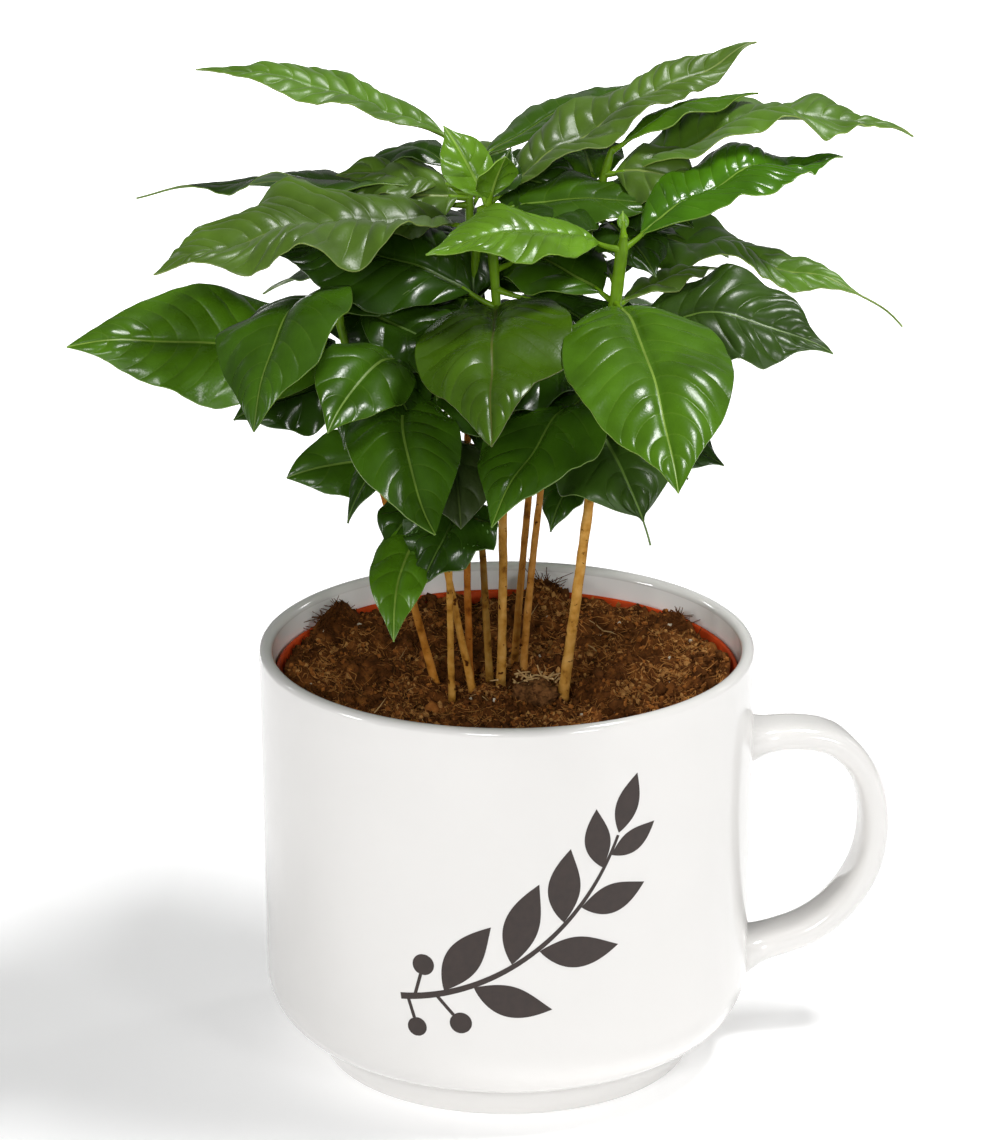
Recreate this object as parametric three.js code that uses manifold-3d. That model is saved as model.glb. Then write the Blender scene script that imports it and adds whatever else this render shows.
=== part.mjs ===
// A potted coffee plant: nine coffee seedlings in a nursery pot that stands in a big white mug.
// Millimetres, +Z up. The origin is the centre of the mug's flat underside, +X points to the side
// that the handle is on, and +Y points away from the front. Angles are in degrees.
import * as THREE from "three";
import { mergeVertices } from "three/addons/utils/BufferGeometryUtils.js";
import Module from "manifold-3d";

const wasm = await Module();
wasm.setup();

// Fit and facets
const GAP = 0.3;
const ROUND_SIDES = 40;
const ARC_STEPS = 4;
const MERGE_DISTANCE = 1e-4;
const LEAST_CURVE = 1e-9;

// Mug body
const MUG_HEIGHT = 113.4;
const MUG_RIM_RADIUS = 65;
const MUG_WALL = 3.8;
const BELLY_RADIUS = 63.8;
const BELLY_TOP = 24;
const BELLY_BEND = 16.5;
const BELLY_FOOT_ANGLE = -80;
const FOOT_RADIUS = 48.5;
const FOOT_ROUNDING = 1.2;
const MUG_FLOOR = 8;

// Mug handle: a strap that bows out from the wall, given by its middle line (distance from the axis, height)
const HANDLE_TURN = 8;
const HANDLE_WIDTH = 15;
const HANDLE_THICKNESS = 7.5;
const HANDLE_ROUNDING = 3.2;
const HANDLE_STEPS = 22;
const HANDLE_EDGE_STEPS = 3;
const HANDLE_LINE = [
  [62, 83.4],
  [77, 84.2],
  [88, 81.2],
  [95.5, 72.5],
  [98.4, 60],
  [96.8, 47],
  [90.5, 36],
  [80, 28],
  [61, 22.8],
];

// Nursery pot inside the mug
const POT_WALL = 1.2;
const POT_BOTTOM_RADIUS = 42;
const POT_COLLAR_BOTTOM = 95;
const POT_COLLAR_INSET = 2.4;
const POT_RIM_RADIUS = 60.5;
const POT_RIM_TOP = 106.5;

// Soil: level in the middle, where the stems stand, and higher along the pot's wall
const SOIL_LEVEL = 101;
const SOIL_LEVEL_RADIUS = 27;
const SOIL_EDGE = 105.4;

// Stems: a root flare at the soil, then a slow taper
const STEM_SIDES = 8;
const STEM_STEPS = 6;
const STEM_TAPER = 0.1;
const FLARE = 0.25;
const FLARE_HEIGHT = 5;
const BARE_BELOW_LEAVES = 7;
const SHOOT_SIDES = 6;
const SHOOT_TIP_SHARE = 1.4;

// Leaves: a drawn-out tip, a shallow keel along the midrib and a stalk that runs into the blade
const LEAF_STEPS = 9;
const MIDRIB_STEPS = 24;
const LEAF_THICKNESS = 1;
const LEAF_TIP_HALF_WIDTH = 0.4;
const LEAF_KEEL = 0.02;
const OUTLINE_SKEW = 0.86;
const OUTLINE_FULLNESS = 0.92;
const TIP_START = 0.7;
const TIP_END = 0.94;
const TIP_NARROWING = 0.42;
const STALK_LENGTH = 7;
const STALK_SUNK = 5;
const STALK_RADIUS = 0.75;
const STALK_SIDES = 4;
const PLAIN_LEAF = { roll: 0, stalk: STALK_LENGTH, twist: 0, curl: 0, fold: 0, thread: 0, blunt: 0 };

// Each seedling: where its stem stands, bends and ends, and the stem's radius. A leaf row holds the
// height on the stem, the turn (0 to +X, 90 to the back), the rise of the stalk, the droop from stalk
// to tip, and the blade's length and width. Some leaves also have a roll about the midrib, a stalk of
// another length, a twist or a sideways curl from base to tip, a fold along the midrib, a share of the
// length that is a thread-like tip, or a blunt tip (0 to 1).
const SEEDLINGS = {
  middle: {
    foot: [-1.6, -3.3], bend: [0.5, -4, 185], top: [-5, 0, 233], radius: 1.15,
    leaves: [
      [205, -91, 14, 45, 77, 40, { roll: 10, blunt: 0.7 }],
      [197, -45, 0, 35, 24, 14],
      [205, 172, 30, 40, 55, 37, { roll: -30, stalk: 8 }],
      [232, 150, 60, 10, 21, 14, { roll: -30, stalk: 2 }],
      [232, 60, 52, 15, 15, 12, { roll: 20, stalk: 2 }],
    ],
  },
  right: {
    foot: [14.4, -11.4], bend: [23.5, -13, 175], top: [29.5, -14, 228], radius: 1.35,
    leaves: [
      [224, 34, 28, 39, 65, 28, { roll: 7, fold: 0.15 }],
      [224, -157, 22, 38, 48, 29, { roll: -11 }],
      [210, -80, 6, 50, 80, 42, { blunt: 0.6 }],
      [209, 35, 19, 25, 31, 13, { roll: -6, stalk: 3 }],
      [201, -8, 22, 58, 51, 32, { roll: 32, stalk: 8 }],
      [210, 137, 22, 35, 38, 25, { roll: -20, stalk: 5 }],
      [188, -118, 1, 42, 59, 31, { blunt: 0.4 }],
      [188, 75, 10, 50, 60, 25],
      [176, -82, 5, 72, 40, 33, { roll: 18, curl: 30, thread: 0.18, blunt: 0.9 }],
      [175, -8, 3, 40, 27, 19, { roll: 25 }],
      [172, 80, 5, 50, 45, 19],
      [227, 95, 75, 5, 5, 3, { stalk: 2 }],
    ],
  },
  rear_right: {
    foot: [4.2, 7.9], bend: [9, 11, 180], top: [27, 15, 243], radius: 0.95,
    leaves: [
      [231, 14, 33, 58, 82, 27, { roll: 2, fold: 0.12 }],
      [242, 25, 27, 30, 40, 16, { roll: -8, stalk: 4 }],
      [230, 100, 25, 25, 24, 20],
      [229, -122, 5, 35, 34, 24, { roll: -5 }],
      [202, 140, 8, 45, 75, 32],
      [166, 10, 0, 50, 34, 19],
      [166, 150, 8, 60, 50, 21],
    ],
  },
  rear: {
    foot: [-4.5, 3.1], bend: [-9, 8, 180], top: [-10, 20, 243], radius: 0.95,
    leaves: [
      [242, 176, 24, 20, 66, 20, { roll: -10, fold: 0.22 }],
      [237, 47, 14, 18, 70, 18],
      [230, 172, 6, 20, 81, 24, { roll: 12, thread: 0.1 }],
      [231, 172, 12, 20, 28, 22, { roll: -15 }],
      [226, 75, 8, 40, 80, 34],
      [233, 140, 22, 60, 30, 18],
      [196, 110, 5, 50, 68, 29],
    ],
  },
  rear_left: {
    foot: [-9.7, 3.1], bend: [-12, 4, 170], top: [-7, 8, 229], radius: 0.95,
    leaves: [
      [224, -158, 12, 30, 82, 42, { roll: -3, twist: -8, fold: 0.06, blunt: 0.8 }],
      [228, 27, 32, 22, 81, 23, { roll: 5, fold: 0.2 }],
      [206, 140, 10, 45, 70, 29],
      [210, 8, 5, 30, 18, 13, { roll: 20 }],
      [200, 176, -2, 25, 22, 14, { roll: -25 }],
      [197, -95, 0, 30, 24, 12],
      [186, 160, 5, 50, 58, 24],
    ],
  },
  left: {
    foot: [-18.7, 0.9], bend: [-35, -1, 165], top: [-44, -4, 208], radius: 1.05,
    leaves: [
      [207, -114, 22, 86, 60, 36, { roll: 18, curl: 12, blunt: 0.5 }],
      [203, 85, -5, 40, 50, 21],
      [189, -167, 21, 26, 72, 34, { roll: -44, stalk: 3, fold: -0.12, blunt: 0.5 }],
      [186, -152, 0, 20, 33, 24, { roll: -35, stalk: 2 }],
      [180, 80, 0, 45, 48, 20],
    ],
  },
  front_left: {
    foot: [-8.6, -7.3], bend: [-19, -9, 150], top: [-24, -13, 195], radius: 0.95,
    leaves: [
      [194, -115, 20, 60, 45, 24, { roll: -25, blunt: 0.5 }],
      [188, -102, -1, 41, 57, 29, { curl: 42, blunt: 0.9 }],
      [166, -172, 9, 32, 30, 20, { roll: -45, blunt: 0.9 }],
      [176, -128, -6, 62, 30, 10],
    ],
  },
  low: {
    foot: [-14.3, -12.4], bend: [-15, -17, 135], top: [-15, -22, 180], radius: 0.85,
    leaves: [
      [179, -84, -8, 40, 31, 21, { blunt: 1 }],
      [162, -80, -2, 55, 31, 25, { curl: -60, blunt: 0.9 }],
      [161, -132, -5, 45, 19, 16, { roll: -20 }],
      [157, -119, -2, 52, 45, 17, { curl: 30, blunt: 0.5 }],
    ],
  },
  back: {
    foot: [1.8, 11.4], bend: [6, 20, 160], top: [14, 28, 217], radius: 0.95,
    leaves: [
      [213, -15, 11, 44, 88, 25, { roll: 2, thread: 0.15 }],
      [205, 120, 15, 45, 75, 32],
      [190, 45, 5, 45, 70, 29],
      [172, 95, 0, 60, 55, 23],
    ],
  },
};

// Finishes
const finish = (color, roughness) => new THREE.MeshStandardMaterial({ color, roughness, metalness: 0 });
const WHITE_GLAZE = finish("#f3f1ee", 0.15);
const TERRACOTTA_PLASTIC = finish("#a8452a", 0.5);
const PEAT = finish("#3a2015", 0.95);
const BROWN_BARK = finish("#a97c3c", 0.75);
const GREEN_LEAF = finish("#2c7a1c", 0.35);

const UP = new THREE.Vector3(0, 0, 1);
const degrees = THREE.MathUtils.degToRad;
const smoothstep = THREE.MathUtils.smoothstep;

// Solids and meshes
function toSolid(geometry) {
  const bare = geometry.clone();
  bare.deleteAttribute("normal");
  bare.deleteAttribute("uv");
  const merged = mergeVertices(bare, MERGE_DISTANCE);
  const vertProperties = merged.attributes.position.array;
  const triVerts = new Uint32Array(merged.index.array);
  return new wasm.Manifold(new wasm.Mesh({ numProp: 3, vertProperties, triVerts }));
}

function toGeometry(solid) {
  const { vertProperties, triVerts } = solid.getMesh();
  const geometry = new THREE.BufferGeometry();
  geometry.setAttribute("position", new THREE.BufferAttribute(vertProperties, 3));
  geometry.setIndex(new THREE.BufferAttribute(triVerts, 1));
  geometry.computeVertexNormals();
  return geometry;
}

function fuse(geometries) {
  return toGeometry(geometries.map(toSolid).reduce((whole, piece) => whole.add(piece)));
}

function named(name, geometry, material) {
  const mesh = new THREE.Mesh(geometry, material);
  mesh.name = name;
  return mesh;
}

// A turned piece from its profile of [radius, height] points, from the axis round to the axis again
function turned(profile) {
  const points = profile.map(([radius, height]) => new THREE.Vector2(radius, height));
  return new THREE.LatheGeometry(points, ROUND_SIDES).rotateX(Math.PI / 2);
}

// Points along an arc of a turned profile, from one angle to another
function arc(radius, height, bend, from, to) {
  return Array.from({ length: ARC_STEPS + 1 }, (_, i) => {
    const angle = degrees(from + ((to - from) * i) / ARC_STEPS);
    return [radius + bend * Math.cos(angle), height + bend * Math.sin(angle)];
  });
}

// The mug's body: a flat foot, a rounded belly, a nearly straight wall and a rounded lip
function mugBody() {
  const lip = MUG_WALL / 2;
  const bellyCentre = BELLY_RADIUS - BELLY_BEND;
  return turned([
    [0, 0],
    ...arc(FOOT_RADIUS - FOOT_ROUNDING, FOOT_ROUNDING, FOOT_ROUNDING, -90, 0),
    ...arc(bellyCentre, BELLY_TOP, BELLY_BEND, BELLY_FOOT_ANGLE, 0),
    ...arc(MUG_RIM_RADIUS - lip, MUG_HEIGHT - lip, lip, 0, 180),
    ...arc(bellyCentre, BELLY_TOP, BELLY_BEND - MUG_WALL, 0, BELLY_FOOT_ANGLE),
    [bellyCentre, MUG_FLOOR],
    [0, MUG_FLOOR],
  ]);
}

// The handle: a strap with rounded edges, swept along its middle line and turned to its side of the mug
function mugHandle() {
  const across = HANDLE_WIDTH / 2 - HANDLE_ROUNDING;
  const deep = HANDLE_THICKNESS / 2 - HANDLE_ROUNDING;
  const section = new THREE.Shape();
  section.absarc(across, deep, HANDLE_ROUNDING, 0, Math.PI / 2);
  section.absarc(-across, deep, HANDLE_ROUNDING, Math.PI / 2, Math.PI);
  section.absarc(-across, -deep, HANDLE_ROUNDING, Math.PI, 1.5 * Math.PI);
  section.absarc(across, -deep, HANDLE_ROUNDING, 1.5 * Math.PI, 2 * Math.PI);
  const line = HANDLE_LINE.map(([out, height]) => new THREE.Vector3(out, 0, height));
  const extrudePath = new THREE.CatmullRomCurve3(line, false, "centripetal");
  const options = { steps: HANDLE_STEPS, curveSegments: HANDLE_EDGE_STEPS, bevelEnabled: false, extrudePath };
  return new THREE.ExtrudeGeometry(section, options).rotateZ(degrees(HANDLE_TURN));
}

// The nursery pot: a thin tapered wall with a collar at the top, standing on the mug's floor
function nurseryPot() {
  const floor = MUG_FLOOR + GAP;
  const collarFoot = POT_RIM_RADIUS - POT_COLLAR_INSET;
  return turned([
    [0, floor],
    [POT_BOTTOM_RADIUS, floor],
    [collarFoot, POT_COLLAR_BOTTOM],
    [POT_RIM_RADIUS, POT_COLLAR_BOTTOM],
    [POT_RIM_RADIUS, POT_RIM_TOP],
    [POT_RIM_RADIUS - POT_WALL, POT_RIM_TOP],
    [collarFoot - POT_WALL, POT_COLLAR_BOTTOM],
    [POT_BOTTOM_RADIUS - POT_WALL, floor + POT_WALL],
    [0, floor + POT_WALL],
  ]);
}

// The soil fills the nursery pot
function soilFill() {
  const floor = MUG_FLOOR + GAP + POT_WALL + GAP;
  const inset = POT_WALL + 2 * GAP;
  const shoulder = POT_RIM_RADIUS - POT_COLLAR_INSET - inset;
  return turned([
    [0, floor],
    [POT_BOTTOM_RADIUS - inset, floor],
    [shoulder, POT_COLLAR_BOTTOM],
    [shoulder, SOIL_EDGE],
    [SOIL_LEVEL_RADIUS, SOIL_LEVEL],
    [0, SOIL_LEVEL],
  ]);
}

// A seedling's middle line, from the soil to its growing tip
function stemLine({ foot, bend, top }) {
  const start = new THREE.Vector3(...foot, SOIL_LEVEL + GAP);
  return new THREE.QuadraticBezierCurve3(start, new THREE.Vector3(...bend), new THREE.Vector3(...top));
}

// How far along its middle line a stem reaches a height
function shareAtHeight({ v0, v1, v2 }, height) {
  const a = v0.z - 2 * v1.z + v2.z;
  const b = 2 * (v1.z - v0.z);
  const c = v0.z - height;
  if (Math.abs(a) < LEAST_CURVE) return -c / b;
  return (Math.sqrt(b * b - 4 * a * c) - b) / (2 * a);
}

// A limb with level sections along part of a stem's line
function limb(line, from, to, radiusAt, sides) {
  const geometry = new THREE.CylinderGeometry(1, 1, 1, sides, STEM_STEPS);
  const place = geometry.attributes.position;
  const centre = new THREE.Vector3();
  for (let i = 0; i < place.count; i++) {
    line.getPoint(from + (to - from) * (place.getY(i) + 0.5), centre);
    const radius = radiusAt(centre.z);
    const x = centre.x + radius * place.getX(i);
    const y = centre.y - radius * place.getZ(i);
    place.setXYZ(i, x, y, centre.z);
  }
  return geometry;
}

// The stem's radius at a height: flared at the foot and slimmer towards the tip
function stemRadius({ radius, top }) {
  return (height) => {
    const above = height - SOIL_LEVEL;
    const flare = FLARE * Math.exp(-above / FLARE_HEIGHT);
    return radius * (1 + flare - (STEM_TAPER * above) / (top[2] - SOIL_LEVEL));
  };
}

// Half the blade's width at a share of its length: widest below the middle, with a drawn-out tip
function halfWidth({ width, thread, blunt }, share) {
  const reached = Math.min(share / (1 - thread), 1);
  const body = Math.sin(Math.PI * reached ** OUTLINE_SKEW) ** OUTLINE_FULLNESS;
  const tip = 1 - TIP_NARROWING * (1 - blunt) * smoothstep(reached, TIP_START, TIP_END);
  const least = reached < 0.5 ? STALK_RADIUS : LEAF_TIP_HALF_WIDTH;
  return Math.max(least, (body * tip * width) / 2);
}

// The direction of a leaf's midrib, given its turn and its slope
function heading(turn, slope) {
  const direction = new THREE.Vector3(Math.cos(degrees(slope)), 0, Math.sin(degrees(slope)));
  return direction.applyAxisAngle(UP, degrees(turn));
}

// The midrib's direction at a share of the blade's length
function midribHeading({ turn, curl, rise, droop }, share) {
  return heading(turn + curl * share, rise - droop * share);
}

// The midrib's place there, reached in short steps
function midribPoint(start, shape, share) {
  const point = start.clone();
  for (let i = 0; i < MIDRIB_STEPS; i++) {
    const along = midribHeading(shape, (share * (i + 0.5)) / MIDRIB_STEPS);
    point.addScaledVector(along, (share * shape.length) / MIDRIB_STEPS);
  }
  return point;
}

// A leaf's blade: a thin box bent along the midrib, keeled along it and rolled about it
function blade(start, shape) {
  const geometry = new THREE.BoxGeometry(1, 2, LEAF_THICKNESS, LEAF_STEPS, 2, 1);
  const place = geometry.attributes.position;
  for (let i = 0; i < place.count; i++) {
    const share = place.getX(i) + 0.5;
    const across = place.getY(i);
    const along = midribHeading(shape, share);
    const level = heading(shape.turn + shape.curl * share + 90, 0);
    const side = level.applyAxisAngle(along, degrees(shape.roll + shape.twist * share));
    const normal = along.clone().cross(side);
    const half = halfWidth(shape, share);
    const point = midribPoint(start, shape, share);
    point.addScaledVector(side, half * across);
    point.addScaledVector(normal, place.getZ(i) + (LEAF_KEEL + shape.fold) * half * Math.abs(across));
    place.setXYZ(i, point.x, point.y, point.z);
  }
  return geometry;
}

// A leaf's stalk: a slim rod from the stem's middle that runs on into the blade
function stalk(base, direction, length) {
  const rod = new THREE.CylinderGeometry(STALK_RADIUS, STALK_RADIUS, length, STALK_SIDES);
  const upright = new THREE.Vector3(0, 1, 0);
  rod.translate(0, length / 2, 0);
  rod.applyQuaternion(new THREE.Quaternion().setFromUnitVectors(upright, direction));
  return rod.translate(base.x, base.y, base.z);
}

// One leaf on a seedling's stem
function leaf(line, [height, turn, rise, droop, length, width, more]) {
  const shape = { turn, rise, droop, length, width, ...PLAIN_LEAF, ...more };
  const base = line.getPoint(shareAtHeight(line, height));
  const direction = heading(turn, rise);
  const start = base.clone().addScaledVector(direction, shape.stalk);
  return [blade(start, shape), stalk(base, direction, shape.stalk + STALK_SUNK)];
}

// A seedling: a bare stem, and above it the leafy shoot with its leaves fused on
function seedling(name, plant) {
  const line = stemLine(plant);
  const radiusAt = stemRadius(plant);
  const lowestLeaf = Math.min(...plant.leaves.map(([height]) => height));
  const bareTop = shareAtHeight(line, lowestLeaf - BARE_BELOW_LEAVES);
  const shootFoot = shareAtHeight(line, lowestLeaf - BARE_BELOW_LEAVES + GAP);
  const shootRadius = (height) => {
    const share = (height - lowestLeaf) / (plant.top[2] - lowestLeaf);
    return radiusAt(height) * THREE.MathUtils.lerp(1, SHOOT_TIP_SHARE, Math.max(share, 0));
  };
  const shoot = limb(line, shootFoot, 1, shootRadius, SHOOT_SIDES);
  const leaves = plant.leaves.flatMap((row) => leaf(line, row));
  return [
    named(`stem_${name}`, limb(line, 0, bareTop, radiusAt, STEM_SIDES), BROWN_BARK),
    named(`leaves_${name}`, fuse([shoot, ...leaves]), GREEN_LEAF),
  ];
}

const pottedPlant = new THREE.Group();
pottedPlant.add(named("mug", fuse([mugBody(), mugHandle()]), WHITE_GLAZE));
pottedPlant.add(named("nursery_pot", nurseryPot(), TERRACOTTA_PLASTIC));
pottedPlant.add(named("soil", soilFill(), PEAT));
for (const [name, plant] of Object.entries(SEEDLINGS)) {
  pottedPlant.add(...seedling(name, plant));
}

export default pottedPlant;
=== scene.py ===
import math
from collections import namedtuple
from functools import partial

import bpy
import numpy as np
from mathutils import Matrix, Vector


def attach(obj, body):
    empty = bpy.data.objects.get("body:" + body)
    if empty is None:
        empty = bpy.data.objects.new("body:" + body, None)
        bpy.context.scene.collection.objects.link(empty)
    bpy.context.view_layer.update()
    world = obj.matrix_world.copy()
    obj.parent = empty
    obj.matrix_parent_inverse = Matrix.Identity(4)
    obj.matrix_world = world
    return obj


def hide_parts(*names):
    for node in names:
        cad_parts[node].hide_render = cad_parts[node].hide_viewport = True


# The looks of a potted coffee plant: nine seedlings in a nursery pot that stands in a big white mug.
# Sizes are in millimetres and angles in degrees. The origin is the centre of the mug's underside,
# +Z is up, +X points to the handle's side and +Y away from the front.
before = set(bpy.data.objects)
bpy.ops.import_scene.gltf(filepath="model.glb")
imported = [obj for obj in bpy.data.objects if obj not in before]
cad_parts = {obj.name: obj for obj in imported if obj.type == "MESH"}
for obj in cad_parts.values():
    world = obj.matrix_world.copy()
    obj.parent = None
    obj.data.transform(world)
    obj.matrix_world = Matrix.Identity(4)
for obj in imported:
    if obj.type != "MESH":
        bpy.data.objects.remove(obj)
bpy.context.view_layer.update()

MM = 0.001
SEED = 11
GAP = 0.3
RIPPLE_WAVES = 24
RIPPLE_SPREAD = (0.7, 1.5)

# Camera, as the photograph was taken
PHOTO_SIZE = (1000, 1140)
FOCAL_PIXELS = 5765
CENTRE_PIXEL_X = 507
SENSOR = 36
CAMERA_TARGET_HEIGHT = 133.3
CAMERA_DISTANCE = 1500
CAMERA_ELEVATION = 19.5

# Stage, in metres
LIT_PLACE = (0, 0, 0.16)
SKY_LIGHT = 0.12
FLOOR_HALF_SIZE = 4

# Mug
MUG_SIDES = 192
MUG_HEIGHT = 113.4
MUG_RIM_RADIUS = 65
MUG_WALL = 3.8
BELLY_RADIUS = 63.8
BELLY_TOP = 24
BELLY_BEND = 16.5
BELLY_FOOT_ANGLE = -80
FOOT_RADIUS = 48.5
FOOT_ROUNDING = 1.2
MUG_FLOOR = 8
HANDLE_TURN = 8
HANDLE_WIDTH = 15
HANDLE_THICKNESS = 7.5
HANDLE_FLARE = 0.45
HANDLE_FLARE_LENGTH = 5
HANDLE_STEPS = 120
HANDLE_SIDES = 40
HANDLE_WIDTH_POWER = 0.62
HANDLE_THICKNESS_POWER = 0.8
HANDLE_LINE = [
    (62, 83.4), (77, 84.2), (88, 81.2), (95.5, 72.5), (98.4, 60),
    (96.8, 47), (90.5, 36), (80, 28), (61, 22.8),
]

# Sprig printed on the mug: its leaves have a place on the stem, a lean, a length and a width, and its berries
# a place, a lean, a distance and a size
PRINT_RISE = 0.06
PRINT_COLUMNS = 5
SPRIG_FOOT = (-30, 38)
SPRIG_START = 6
SPRIG_SWEEP = 62
SPRIG_LENGTH = 78
SPRIG_STEPS = 40
SPRIG_HALF_WIDTH = 0.9
SPRIG_TAPER = 0.5
SPRIG_LEAF_STEPS = 25
SPRIG_LEAF_BEND = 0.35
SPRIG_LEAF_SKEW = 0.9
BERRY_STALK_HALF_WIDTH = 0.45
BERRY_STALK_STEPS = 8
SPRIG_LEAVES = [
    (0.16, 50, 23, 9), (0.26, -48, 22, 8.5), (0.4, 50, 24, 9), (0.5, -48, 22, 8.5), (0.64, 48, 21, 8.5),
    (0.73, -46, 19, 8), (0.86, 44, 17, 7), (0.92, -42, 15, 6), (1, 4, 17, 6.5),
]
SPRIG_BERRIES = [(0.13, -62, 7, 5.8), (0.05, 66, 6.5, 5.8), (0.02, -80, 6, 5.2)]

# Nursery pot
POT_WALL = 1.2
POT_BOTTOM_RADIUS = 42
POT_COLLAR_BOTTOM = 95
POT_COLLAR_INSET = 2.4
POT_RIM_RADIUS = 60.5
POT_RIM_TOP = 106.5
POT_BEVEL = 0.4

# Soil: its heaps have a place, a size and a rise, its tufts a place, a size and a count, and its swells, from
# the broadest to the grain, a size and a rise
SOIL_LEVEL = 101
SOIL_LEVEL_RADIUS = 27
SOIL_EDGE = 105.4
SOIL_RADIUS = POT_RIM_RADIUS - POT_COLLAR_INSET - POT_WALL - 2 * GAP
SOIL_TOP_RADIUS = 58.4
SOIL_FLOOR = MUG_FLOOR + POT_WALL + 2 * GAP
SOIL_RINGS = 80
SOIL_SPOKES = 300
SOIL_HEAPS = [
    (-47, 40, 10, 6.5), (12, 53, 9, 4.5), (45, 37, 7, 4),
    (-2, -27, 16, 2.5), (33, -14, 22, 2), (6, -10, 8, -1.6),
]
SOIL_TUFTS = [(-49, 30, 4, 120), (-44, 34, 4, 90), (11, 55, 4, 120), (46, 33, 3, 80), (50, 26, 2, 50)]
SOIL_SWELLS = [(22, 0.9), (9, 0.8), (4.5, 0.6), (2.2, 0.5)]
SOIL_SINKING = 0.5
SOIL_PATCH_SIZE = 24
PATCH_CONTRAST = 0.3
CRUMB_MARGIN = 0.8
CRUMB_STRETCH = (0.6, 1.35)
FIBRE_MARGIN = 2
FIBRE_STEPS = 5
FIBRE_SIDES = 3
FIBRE_TAPER = 0.8
FIBRE_RISE = 0.2
FIBRE_TILT = 0.3
FIBRE_SINKING = 0.3
FIBRE_CHANCE = (0.6, 1.3)
BARE_PATCHES = (-1.2, 0.4)
HUSK_PLACE = (7.5, -12, 103)
HUSK_HALF_SIZE = (5.8, 4.5, 4)
HUSK_DENTS = [(0.8, 0.12), (0.3, 0.07), (0.12, 0.04)]
HUSK_STRAWS = 44
STRAWS_FROM_HUSK = (0, 3, 3.4)
STRAWS_SPREAD = (3.5, 1.2, 0.6)
STRAWS_ABOVE_SOIL = 0.1
TUFT_SPREAD = 0.4
TUFT_MARGIN = 1
Bristle = namedtuple("Bristle", "spread upright bow lengths radius taper steps sides")
COIR = Bristle((0.5, 0.5, 0.2), 0.4, 0.9, (0.2, 0.65), 0.16, 0.08, 5, 4)
STRAW = Bristle((1, 0.6, 0.25), 0.2, 0.6, (1, 3.2), 0.3, 0.15, 6, 5)

# Stems and shoots
STEM_SIDES = 20
STEM_MARKS = 20001
STEM_TAPER = 0.1
FLARE = 0.25
FLARE_HEIGHT = 5
BARE_BELOW_LEAVES = 7
BARK_RELIEF = 0.04
GRAIN_SIZE = 1.3
GRAIN_ROUND = 1.1
GRAIN_ALONG = 0.16
KNOT_RISE = 0.035
KNOT_SIZE = 1.1
KNOT_SPACING = 19
KNOT_JITTER = 4
FIRST_KNOT_ABOVE_SOIL = 14
LAST_KNOT_BELOW_LEAVES = 10
SHOOT_SIDES = 16
SHOOT_RELIEF = 0.035
SHOOT_TIP_SHARE = 1.4
WOODY_ABOVE_LEAVES = 6
WOODY_TOP = 190
BUD_LENGTH = 5
BUD_TAPER = 0.45

# Leaf blades: outline, thickness, veins and the relief between them
OUTLINE_SKEW = 0.86
OUTLINE_FULLNESS = 0.92
TIP_START = 0.7
TIP_END = 0.94
TIP_NARROWING = 0.42
BASE_HALF_WIDTH = 0.7
TIP_HALF_WIDTH = 0.22
STALK_LENGTH = 7
STALK_RADIUS = 0.75
STALK_FOOT = 1.15
STALK_TAPER = 0.5
STALK_FLARE = 0.5
STALK_FLARE_LENGTH = 1.5
STALK_IN_BLADE = 2.5
STALK_SAG = 0.3
STALK_STEPS = 9
STALK_SIDES = 10
BLADE_THICKNESS = 0.35
MIDRIB_STEPS = 240
VEIN_JITTER = 0.14
FEWEST_VEINS = 4
FIRST_VEIN = 0.09
LAST_VEIN = 0.86
VEIN_SWEEP = 0.36
VEIN_BEND = 1.4
VEIN_REACH = 0.82
ROWS_BETWEEN_VEINS = (0, 0.03, 0.15, 0.32, 0.5, 0.68, 0.85, 0.97)
ACROSS_HALF_BLADE = (0, 0.05, 0.13, 0.24, 0.36, 0.49, 0.62, 0.75, 0.86, 0.94, 0.985, 1)
RIB_HALF_WIDTH = 0.42
RIB_NARROWING = 0.6
RIB_LARGEST_SHARE = 0.6
RIB_RISE = 0.16
RIB_RISE_LOSS = 0.7
RIB_DEPTH = 0.75
RIB_DEPTH_LOSS = 0.75
QUILT = 0.085
QUILT_ROUNDNESS = 0.8
QUILT_CHANCE = (0.5, 1.4)
QUILT_START = 0.6
QUILT_EDGE = (0.9, 2.5)
FULL_RELIEF_HALF_WIDTH = 6
RELIEF_START = (0.02, 0.3)
PUCKER = 0.13
PUCKER_SIZE = 6
ARCH = 0.1
ARCH_SKEW = 0.7
EDGE_DROP = 0.05
WAVE = 0.13
WAVES_A_LEAF = 2.6
WAVES_CHANCE = (0.95, 1.1)
CREST_SHIFT = 0.35
CUP_LENGTH = 0.5
TIP_GUTTER = 0.15
GUTTER_START = 0.8
SWAY = 0.012
SWAY_SIZE = 26

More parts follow.
